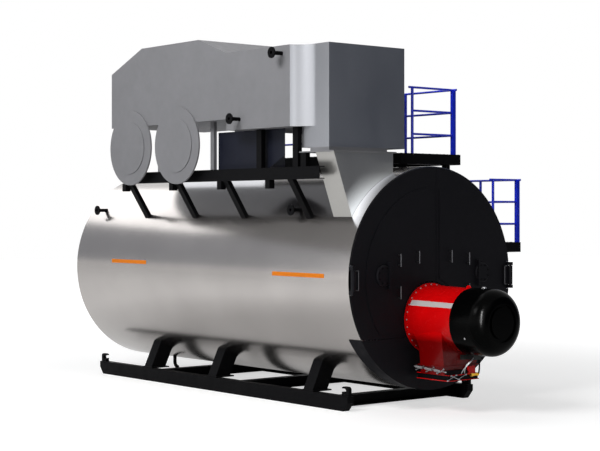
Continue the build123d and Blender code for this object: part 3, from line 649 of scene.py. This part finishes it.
def grow(name, tree, values, material, body, places=((Vector((0, 0, 0)), Vector((0, 0, 1))),)):
    """Runs a tree on points with a facing, and keeps the result as one plain mesh."""
    seed = bpy.data.meshes.new("points")
    seed.from_pydata([place for place, facing in places], [], [])
    attribute = seed.attributes.new("facing", "FLOAT_VECTOR", "POINT")
    for item, (place, facing) in zip(attribute.data, places):
        item.vector = facing
    holder = bpy.data.objects.new("points", seed)
    bpy.context.scene.collection.objects.link(holder)
    modifier = holder.modifiers.new("tree", "NODES")
    modifier.node_group = tree
    sockets = {item.name: item.identifier for item in tree.interface.items_tree if item.in_out == "INPUT"}
    for title, value in dict(values, Finish=finish[material]).items():
        modifier[sockets[title]] = value
    mesh = evaluated_mesh(holder)
    holder.modifiers.remove(modifier)
    bpy.data.objects.remove(holder)
    bpy.data.meshes.remove(seed)
    if not mesh.polygons:
        raise RuntimeError(name + " came out empty")
    return keep(name, mesh, material, body)


# Operators

class PaintFrame(bpy.types.Operator):
    """Makes the finishes and gives each CAD node its own"""

    bl_idname = "boiler.paint_frame"
    bl_label = "Paint the frame"

    def execute(self, context):
        finish_all(context.scene.boiler_finishes)
        for key, names in node_finishes.items():
            for name in names:
                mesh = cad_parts[name].data
                mesh.materials.clear()
                mesh.materials.append(finish[key])
        bare = set(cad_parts) - {name for names in node_finishes.values() for name in names}
        if bare:
            raise RuntimeError("no finish for " + ", ".join(sorted(bare)))
        return {"FINISHED"}


class DrumStripes(bpy.types.Operator):
    """Paints the two stripes on each side of the drum"""

    bl_idname = "boiler.drum_stripes"
    bl_label = "Drum stripes"

    def execute(self, context):
        height = context.scene.boiler_fittings.stripe_height
        paint_film = 0.0012
        proud = drum_radius + paint_film
        steps = 6
        # Start and end from the front plate, and height over the drum's axis
        rear_stripe = (-6.282, -5.207, 0.128)
        front_stripe = (-1.765, -0.551, 0.050)
        form = bmesh.new()
        for start, end, rise in (rear_stripe, front_stripe):
            for side in (-1, 1):
                rows = []
                for step in range(steps + 1):
                    z = rise + height * (step / steps - 0.5)
                    y = side * sqrt(proud ** 2 - z ** 2)
                    rows.append([form.verts.new((front_x + x, y, axis_z + z)) for x in (start, end)])
                strip_faces(form, rows, outward=side < 0)
        keep("drum_stripes", plain_mesh("stripes", form), "stripe", "boiler")
        return {"FINISHED"}


class TubeEnds(bpy.types.Operator):
    """Sets the ends of the fire tubes on the tube plate, seen when the leaves are open"""

    bl_idname = "boiler.tube_ends"
    bl_label = "Fire-tube ends"

    def execute(self, context):
        sizes = context.scene.boiler_fittings
        plate_low, plate_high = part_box("tube_plate")
        throat_low, throat_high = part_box("burner_throat")
        plate_radius = (plate_high.z - plate_low.z) / 2
        throat_radius = (throat_high.z - throat_low.z) / 2
        rim_margin = 0.12
        throat_margin = 0.13
        bore_gap = 0.003
        bore_lift = 0.002
        stand = 0.016
        values = {
            "Pitch": sizes.tube_pitch,
            "Radius": sizes.tube_radius,
            "Wall": 0.006,
            "Stand": stand,
            "Plate Radius": plate_radius - rim_margin,
            "Furnace Radius": throat_radius + throat_margin,
            "Furnace Place": (0.0, burner_y, burner_z - axis_z),
            "Place": (plate_high.x + stand / 2, 0.0, axis_z),
        }
        grow("fire_tube_ends", tube_tree("tube ends", False), values, "bolt", "boiler")
        # Dark discs inside the tube ends: soot, and painted shade of the open bores.
        values["Place"] = (plate_high.x + bore_lift, 0.0, axis_z)
        values["Radius"] = sizes.tube_radius - bore_gap
        grow("fire_tube_bore_shade_discs", tube_tree("tube bore shade discs", True), values, "bore", "boiler")
        return {"FINISHED"}


class BurnerBolts(bpy.types.Operator):
    """Sets the bolts round the burner flange"""

    bl_idname = "boiler.burner_bolts"
    bl_label = "Burner flange bolts"

    def execute(self, context):
        sizes = context.scene.boiler_fittings
        edge_distance = 0.022
        washer_seat = 0.002
        middle = (ring_high.x + washer_seat, burner_y, burner_z)
        places = ring_places(middle, flange_radius - edge_distance, sizes.flange_bolts, (1, 0, 0))
        values = {"Width": sizes.bolt_width, "Height": 0.012, "Washer": sizes.bolt_width * 1.5}
        grow("burner_flange_bolts", bolt_tree(), values, "bolt", "boiler", places)
        return {"FINISHED"}


class BurnerLinkage(bpy.types.Operator):
    """Builds the damper linkage, conduits and gas fittings round the burner's foot"""

    bl_idname = "boiler.burner_linkage"
    bl_label = "Burner linkage"

    # Places of the linkage from the burner's axis and from the front plate
    near_side = -0.402
    tray_front = 0.776

    def execute(self, context):
        self.rods()
        self.springs()
        self.conduits()
        self.gas_line()
        return {"FINISHED"}

    def from_foot(self, lines):
        """Points measured from the front plate, the burner's axis and the tray's top."""
        foot = Vector((front_x, burner_y, tray_top))
        return [[foot + Vector(point) for point in points] for points in lines]

    def rods(self):
        """Damper rods on the near side and the front of the tray, with a pin at each end."""
        rod_radius = 0.0055
        side = self.near_side
        front = self.tray_front
        side_rods = self.from_foot((
            ((0.10, side, 0.088), (0.74, side, 0.046)),
            ((0.13, side, 0.036), (0.29, side, 0.100)),
            ((0.35, side, 0.026), (0.50, side, 0.094)),
            ((0.57, side, 0.018), (0.70, side, 0.084)),
        ))
        front_rods = self.from_foot((
            ((front, -0.40, -0.072), (front, -0.23, -0.004)),
            ((front, -0.33, -0.008), (front, -0.17, -0.070)),
            ((front, -0.19, -0.066), (front, -0.04, -0.006)),
        ))
        rods = tube(side_rods + front_rods, rod_radius)
        keep("linkage_rods", rods, "linkage", "boiler")
        pins = [(point, Vector((0, -1, 0))) for rod in side_rods for point in rod]
        pins += [(point, Vector((1, 0, 0))) for rod in front_rods for point in rod]
        values = {"Width": 0.018, "Height": 0.014, "Washer": 0.024}
        grow("linkage_pins", bolt_tree(), values, "linkage", "boiler", pins)

    def springs(self):
        """Return springs round the long rod."""
        turns = 9
        wire_steps = 8
        coil = 0.021
        rod_height = 0.094
        rod_fall = 0.065
        wire_radius = 0.0035
        wire_rounding = 2
        # Start and length of each spring along the rod
        springs = ((0.12, 0.15), (0.32, 0.14), (0.51, 0.13))
        lines = []
        for start, length in springs:
            points = []
            for i in range(turns * wire_steps + 1):
                angle = 2 * pi * i / wire_steps
                share = i / (turns * wire_steps)
                x = start + length * share
                y = self.near_side + coil * cos(angle)
                points.append((x, y, rod_height - rod_fall * x + coil * sin(angle)))
            lines.append(points)
        wires = tube(self.from_foot(lines), wire_radius, wire_rounding)
        keep("linkage_springs", wires, "linkage", "boiler")

    def conduits(self):
        """Flexible conduits from the control box down to the tray."""
        conduit_radius = 0.008
        lines = self.from_foot((
            ((0.845, 0.050, 0.235), (0.885, -0.010, 0.215), (0.850, -0.080, 0.130),
             (0.785, -0.105, 0.060), (0.745, -0.104, -0.002)),
            ((0.830, 0.045, 0.215), (0.845, 0.000, 0.190), (0.800, -0.052, 0.130),
             (0.775, -0.060, 0.060), (0.745, -0.035, -0.002)),
        ))
        keep("burner_conduits", tube(lines, conduit_radius), "conduit", "boiler")

    def gas_line(self):
        """Brass fitting at the tray's front edge and the thin sensing pipe beside the control box."""
        pipe_radius = 0.012
        beside = 0.030
        pipe_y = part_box("control_box")[1].y - burner_y + beside
        pipe = self.from_foot((
            ((0.80, pipe_y - beside, 0.235), (0.80, pipe_y, 0.225), (0.80, pipe_y, 0.02),
             (0.775, pipe_y, -0.02)),
        ))
        keep("sensing_pipe", tube(pipe, pipe_radius), "frame", "boiler")
        fitting = bmesh.new()
        # Place along the tray, radius and length
        near_nut = (0.085, 0.026, 0.05)
        body = (0.13, 0.017, 0.12)
        far_nut = (0.195, 0.024, 0.04)
        drop = 0.02
        for y, radius, length in (near_nut, body, far_nut):
            place = Vector((front_x + self.tray_front, burner_y + y, tray_top - drop))
            turn = Matrix.Translation(place) @ Matrix.Rotation(pi / 2, 4, "X")
            bmesh.ops.create_cone(
                fitting, cap_ends=True, segments=6, radius1=radius, radius2=radius, depth=length,
                matrix=turn)
        keep("gas_fittings", from_bmesh(fitting), "brass", "boiler")


class PaintedHousingHighlight(bpy.types.Operator):
    """Paints a pale band along the near upper side of the burner housing, a painted highlight that stands for
    a reflection
    """

    bl_idname = "boiler.housing_band"
    bl_label = "Painted housing highlight"

    def execute(self, context):
        ring_gap = 0.012
        cover_gap = 0.002
        cover_step = 0.010
        start = ring_high.x + ring_gap
        end = cover_low.x - cover_gap
        housing_low, housing_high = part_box("burner_housing")
        near = burner_y - housing_low.y
        far = cover_radius - cover_step
        proud = 0.0015
        lowest_turn = 25
        band_turn = 10
        steps = 8
        form = bmesh.new()
        rows = []
        for step in range(steps + 1):
            angle = radians(lowest_turn + band_turn * step / steps)
            row = []
            for x in (start, end):
                share = (x - ring_high.x) / (housing_high.x - ring_high.x)
                radius = near + (far - near) * share + proud
                y = burner_y - radius * cos(angle)
                row.append(form.verts.new((x, y, burner_z + radius * sin(angle))))
            rows.append(row)
        strip_faces(form, rows)
        # The band is a painted highlight, standing for a reflection on the red.
        keep("housing_band", plain_mesh("band", form), "band", "boiler")
        return {"FINISHED"}


class StrapBars(bpy.types.Operator):
    """Adds the upright bar of each hinge strap and its two short arms"""

    bl_idname = "boiler.strap_bars"
    bl_label = "Hinge strap bars"

    def execute(self, context):
        bar_radius = 0.007
        bar_inset = 0.006
        bar_from_end = 0.012
        bar_rise = 0.034
        arm_length = 0.05
        for side, sign in (("left", -1), ("right", 1)):
            low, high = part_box("hinge_strap_" + side)
            x = front_x + bar_rise
            y = sign * (min(abs(low.y), abs(high.y)) + bar_from_end)
            arm_y = y + sign * arm_length
            foot = low.z + bar_inset
            head = high.z - bar_inset
            bars = [
                [(x, y, foot), (x, y, head)],
                [(x, y, foot), (x, arm_y, foot)],
                [(x, y, head), (x, arm_y, head)],
            ]
            keep("strap_bars_" + side, tube(bars, bar_radius), "bar", "door_leaf_" + side)
        return {"FINISHED"}


class CoverDetails(bpy.types.Operator):
    """Adds the latch on top of the burner cover and the screws at its sides"""

    bl_idname = "boiler.cover_details"
    bl_label = "Burner cover details"

    def execute(self, context):
        latch_x = 1.10
        screw_x = 0.26
        screw_sink = 0.001
        screw_turns = (206, 334)
        latch = bmesh.new()
        top = Vector((front_x + latch_x, burner_y, burner_z + cover_radius))
        base_low = Vector((-0.03, -0.02, -0.01))
        base_high = Vector((0.03, 0.02, 0.012))
        clip_low = Vector((-0.012, -0.028, 0.006))
        clip_high = Vector((0.012, 0.028, 0.02))
        add_box(latch, top + base_low, top + base_high, bevel=0.004)
        add_box(latch, top + clip_low, top + clip_high, bevel=0.003)
        keep("cover_latch", from_bmesh(latch), "bolt", "boiler")
        middle = Vector((cover_low.x + screw_x, burner_y, burner_z))
        seat = cover_radius - screw_sink
        places = []
        for turn in screw_turns:
            way = Vector((0, cos(radians(turn)), sin(radians(turn))))
            places.append((middle + way * seat, way))
        values = {"Width": 0.02, "Height": 0.008, "Washer": 0.028}
        grow("cover_screws", bolt_tree(), values, "bolt", "boiler", places)
        return {"FINISHED"}


class BeamCleats(bpy.types.Operator):
    """Stands short cleats under the beam where its cross members start"""

    bl_idname = "boiler.beam_cleats"
    bl_label = "Beam cleats"

    def execute(self, context):
        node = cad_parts["cross_members"]
        low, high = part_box("cross_members")
        beam_low, beam_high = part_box("near_beam")
        edges = sorted({round(vert.co.x, 3) for vert in node.data.vertices})
        bevel = 0.006
        form = bmesh.new()
        for left, right in zip(edges[::2], edges[1::2]):
            add_box(form, (left, beam_low.y, low.z), (right, beam_high.y, high.z), bevel)
        piece = keep("beam_cleats", from_bmesh(form), "frame", "boiler")
        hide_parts("cross_members")
        return {"FINISHED"}


class HatchBolts(bpy.types.Operator):
    """Sets the bolts round each inspection hatch"""

    bl_idname = "boiler.hatch_bolts"
    bl_label = "Hatch bolts"

    def execute(self, context):
        tree = bolt_tree()
        bolt_count = 8
        bolt_seat = 0.040
        edge_distance = 0.035
        for side in ("left", "right"):
            low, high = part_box("hatch_" + side)
            middle = (low + high) / 2
            middle.x = low.x + bolt_seat
            radius = (high.y - low.y) / 2 - edge_distance
            places = ring_places(middle, radius, bolt_count, (1, 0, 0), pi / bolt_count)
            values = {"Width": 0.02, "Height": 0.01, "Washer": 0.028}
            body = "door_leaf_" + side
            grow("hatch_bolts_" + side, tree, values, "frame", body, places)
        return {"FINISHED"}


class DeckTreads(bpy.types.Operator):
    """Covers both decks with the raised marks of a tread plate"""

    bl_idname = "boiler.deck_treads"
    bl_label = "Deck treads"

    def execute(self, context):
        pitch = context.scene.boiler_fittings.tread_pitch
        margin = 0.06
        sunk = 0.0005
        tree = tread_tree()
        for name in ("upper_deck", "lower_deck"):
            low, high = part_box(name)
            length = high.x - low.x - margin
            width = high.y - low.y - margin
            values = {
                "Length": length,
                "Width": width,
                "Columns": int(length / pitch) + 1,
                "Rows": int(width / pitch) + 1,
                "Mark": 0.022,
                "Place": ((low.x + high.x) / 2, (low.y + high.y) / 2, high.z - sunk),
            }
            grow(name + "_treads", tree, values, "frame", "boiler")
        return {"FINISHED"}


class Studio(bpy.types.Operator):
    """Sets the floor, the lamps, the white surroundings and the camera"""

    bl_idname = "boiler.studio"
    bl_label = "Studio"

    def execute(self, context):
        scene = context.scene
        studio = scene.boiler_studio
        scene.view_settings.view_transform = "Standard"
        if studio.show_floor:
            self.floor()
        self.surroundings(scene)
        self.lamps(studio)
        self.far_cards()
        self.near_cards()
        self.camera(scene, studio.lens)
        return {"FINISHED"}

    def lamps(self, studio):
        """The lamps, each with its place, what it looks at, its size and its power."""
        self.lamp("key", (4.5, -17.0, 14.5), (1.0, 0.0, 2.4), (9.0, 6.0), studio.key_power)
        self.lamp("top", (-2.0, -2.0, 15.0), (0.0, 0.0, 2.0), (9.0, 9.0), studio.top_power)
        self.lamp("front", (16.0, 2.0, 6.0), (3.0, 0.0, 2.0), (5.0, 5.0), studio.front_power)
        rim = self.lamp("rim", (16.0, -6.0, 4.5), (5.0, 0.0, 1.4), (1.6, 7.5), studio.rim_power)
        self.mirror_only(rim, "burner_cover")

    def far_cards(self):
        """The cards round the studio that give the drum and the sheets their light and dark bands.

        Each has its place, what it looks at, its size, its glow and its tint.
        """
        cool = (0.955, 0.985, 1.06)
        blue = (0.6, 0.85, 1.5)
        self.card("wall", (-26.0, -16.6, 9.7), (0.0, -1.6, 9.7), (40.0, 12.4), 0.50, cool)
        self.card("sky", (-26.0, -16.6, 28.4), (0.0, -1.6, 28.4), (60.0, 25.0), 2.85)
        self.card("shade", (-6.0, -7.5, 9.5), (0.0, -7.5, 9.5), (9.0, 7.0), 0.20)
        self.card("side", (12.5, -21.0, 5.0), (12.5, 0.0, 5.0), (57.0, 10.0), 2.75)
        self.card("side_return", (38.0, -11.0, 6.0), (0.0, -11.0, 6.0), (20.0, 12.0), 4.0)
        self.card("front", (20.0, 14.0, 6.0), (4.0, 0.0, 4.0), (36.0, 16.0), 0.06, blue)

    def near_cards(self):
        """The cards over the drum's crown and before the transition's foot."""
        crown_gap = 0.04
        foot_gap = 0.006
        foot_height = 0.8
        foot_fade = 0.3
        level = axis_z + drum_radius + crown_gap
        shade_cool = (0.96, 1.0, 1.08)
        crown_cool = (0.96, 1.0, 1.06)
        foot_cool = (0.94, 1.0, 1.08)
        self.card("under_beam", (0.24, -1.25, level), (0.24, -1.25, 0.0), (4.42, 1.0), 0.22, shade_cool)
        self.card("crown", (-0.75, -0.55, level), (-0.75, -0.55, 0.0), (2.44, 0.4), 1.6, crown_cool)
        low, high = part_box("transition_duct")
        foot = Vector((high.x + foot_gap, (low.y + high.y) / 2, low.z + foot_height / 2))
        ahead = foot + Vector((1.0, 0.0, 0.0))
        glow = 3.3
        made = self.card("foot", foot, ahead, (high.y - low.y, foot_height), glow, foot_cool)
        self.clear_beyond(made, foot_fade, glow)

    def camera(self, scene, lens):
        """The camera at the photograph's place and angle."""
        camera = bpy.data.cameras.new("camera")
        camera.sensor_width = 36.0
        camera.lens = lens
        camera.shift_y = -0.0220
        camera.clip_end = 200.0
        holder = bpy.data.objects.new("camera", camera)
        holder.location = (19.724, -15.467, 2.898)
        holder.rotation_euler = (pi / 2, 0, radians(50.859))
        scene.collection.objects.link(holder)
        scene.camera = holder

    def plane(self, name, half, made):
        """A square with a finish, for the floor and the cards."""
        form = bmesh.new()
        bmesh.ops.create_grid(form, x_segments=1, y_segments=1, size=half)
        mesh = plain_mesh(name, form)
        mesh.materials.append(made.material)
        plane = bpy.data.objects.new(name, mesh)
        bpy.context.scene.collection.objects.link(plane)
        return plane

    def floor(self):
        """A pale floor that is white to the camera further out, and keeps the shadow."""
        seen_near = 5.0
        seen_far = 16.0
        mirror_near = 2.6
        mirror_far = 6.2
        half = 60
        made = Finish("pale floor", (0.55, 0.55, 0.55), 0.8, specular=0.1)
        made.colour(made.blend(made.noise(0.3, 2), (0.54, 0.54, 0.54), (0.56, 0.56, 0.56)))
        rays = made.add("ShaderNodeLightPath").outputs
        distance = made.vector_math("LENGTH", made.place)["Value"]
        seen_glow = made.spread(distance, 0.6, 1.0, seen_near, seen_far)
        mirror_glow = made.spread(distance, 0.31, 0.84, mirror_near, mirror_far)
        seen = made.math("MULTIPLY", rays["Is Camera Ray"], seen_glow)
        mirrored = made.math("MULTIPLY", rays["Is Glossy Ray"], mirror_glow)
        made.shader.inputs["Emission Color"].default_value = (1, 1, 1, 1)
        made.link(made.math("MAXIMUM", seen, mirrored), made.shader.inputs["Emission Strength"])
        floor = self.plane("floor", half, made)

    def surroundings(self, scene):
        """White to the camera and in reflections, and a soft weak light on everything else."""
        world = bpy.data.worlds.new("surroundings")
        scene.world = world
        world.use_nodes = True
        nodes = Nodes(world.node_tree)
        white = nodes.tree.nodes["Background"]
        white.inputs["Color"].default_value = (1, 1, 1, 1)
        white.inputs["Strength"].default_value = 1.0
        soft = nodes.add("ShaderNodeBackground", Color=(0.96, 0.98, 1.0, 1), Strength=0.17)
        rays = nodes.add("ShaderNodeLightPath").outputs
        seen = nodes.math("MAXIMUM", rays["Is Camera Ray"], rays["Is Glossy Ray"])
        seen = nodes.math("MAXIMUM", seen, rays["Is Transmission Ray"])
        nodes.end_in_mix(seen, soft.outputs["Background"], white.outputs["Background"], "World Output")

    def card(self, name, place, target, size, glow, tint=(1, 1, 1)):
        """A card that only reflections see, as bright as its glow."""
        made = Finish(name + " card", (0.0, 0.0, 0.0), 0.9, specular=0.0)
        made.shader.inputs["Emission Color"].default_value = (*tint, 1)
        made.shader.inputs["Emission Strength"].default_value = glow
        card = self.plane(name + "_card", 0.5, made)
        card.location = place
        way = Vector(target) - Vector(place)
        card.rotation_euler = way.to_track_quat("Z", "Y").to_euler()
        card.scale = (*size, 1)
        card.visible_camera = False
        card.visible_diffuse = False
        card.visible_shadow = False
        return made

    def clear_beyond(self, made, fade, glow):
        """Lets a card turn clear away from the drum's surface, and dim towards the crown."""
        bright_height = axis_z + drum_radius * 0.62
        dim_height = axis_z + drum_radius * 0.95
        dim_glow = glow * 0.12
        position = made.add("ShaderNodeNewGeometry").outputs["Position"]
        flat = made.vector_math("MULTIPLY", position, (0, 1, 1))["Vector"]
        reach = made.vector_math("DISTANCE", flat, (0, 0, axis_z))["Value"]
        height = made.add("ShaderNodeSeparateXYZ", Vector=position).outputs["Z"]
        dimmed = made.spread(height, glow, dim_glow, bright_height, dim_height)
        made.link(dimmed, made.shader.inputs["Emission Strength"])
        clear = made.add("ShaderNodeBsdfTransparent").outputs["BSDF"]
        share = made.spread(reach, 0.0, 1.0, drum_radius, drum_radius + fade)
        made.end_in_mix(share, made.shader.outputs["BSDF"], clear, "Material Output")

    def lamp(self, name, place, target, size, power):
        """An area lamp out of the camera's sight."""
        light = bpy.data.lights.new(name, "AREA")
        light.shape = "RECTANGLE"
        light.size = size[0]
        light.size_y = size[1]
        light.energy = power
        holder = bpy.data.objects.new(name, light)
        holder.location = place
        way = Vector(target) - Vector(place)
        holder.rotation_euler = way.to_track_quat("-Z", "Y").to_euler()
        holder.visible_camera = False
        bpy.context.scene.collection.objects.link(holder)
        return holder

    def mirror_only(self, lamp, node):
        """Leaves a lamp to the reflections of one node."""
        lit = bpy.data.collections.new(lamp.name + "_lit")
        lit.objects.link(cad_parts[node])
        lamp.light_linking.receiver_collection = lit
        lamp.visible_diffuse = False


# Panel and registration

operators = (
    PaintFrame,
    DrumStripes,
    TubeEnds,
    BurnerBolts,
    BurnerLinkage,
    PaintedHousingHighlight,
    StrapBars,
    CoverDetails,
    BeamCleats,
    HatchBolts,
    DeckTreads,
    Studio,
)


class BoilerPanel(bpy.types.Panel):
    """Lists the boiler's sizes, colours and steps"""

    bl_idname = "VIEW3D_PT_boiler"
    bl_label = "Boiler"
    bl_space_type = "VIEW_3D"
    bl_region_type = "UI"
    bl_category = "Boiler"

    def draw(self, context):
        """Shows each group of settings in a box, and the steps under them."""
        scene = context.scene
        for group in (scene.boiler_finishes, scene.boiler_fittings, scene.boiler_studio):
            box = self.layout.box()
            for key in group.__annotations__:
                box.prop(group, key)
        for step in operators:
            self.layout.operator(step.bl_idname)


classes = (BoilerFinishes, BoilerFittings, BoilerStudio) + operators + (BoilerPanel,)


def register():
    """Adds the classes and hangs the settings on the scene."""
    for item in classes:
        bpy.utils.register_class(item)
    bpy.types.Scene.boiler_finishes = PointerProperty(type=BoilerFinishes)
    bpy.types.Scene.boiler_fittings = PointerProperty(type=BoilerFittings)
    bpy.types.Scene.boiler_studio = PointerProperty(type=BoilerStudio)


def unregister():
    """Takes the settings and the classes away again."""
    del bpy.types.Scene.boiler_studio
    del bpy.types.Scene.boiler_fittings
    del bpy.types.Scene.boiler_finishes
    for item in reversed(classes):
        bpy.utils.unregister_class(item)


def main():
    """Dresses the boiler and sets the studio."""
    register()
    bpy.ops.boiler.paint_frame()
    bpy.ops.boiler.drum_stripes()
    bpy.ops.boiler.tube_ends()
    bpy.ops.boiler.burner_bolts()
    bpy.ops.boiler.burner_linkage()
    bpy.ops.boiler.housing_band()
    bpy.ops.boiler.strap_bars()
    bpy.ops.boiler.cover_details()
    bpy.ops.boiler.beam_cleats()
    bpy.ops.boiler.hatch_bolts()
    bpy.ops.boiler.deck_treads()
    bpy.ops.boiler.studio()


if __name__ == "__main__":
    main()
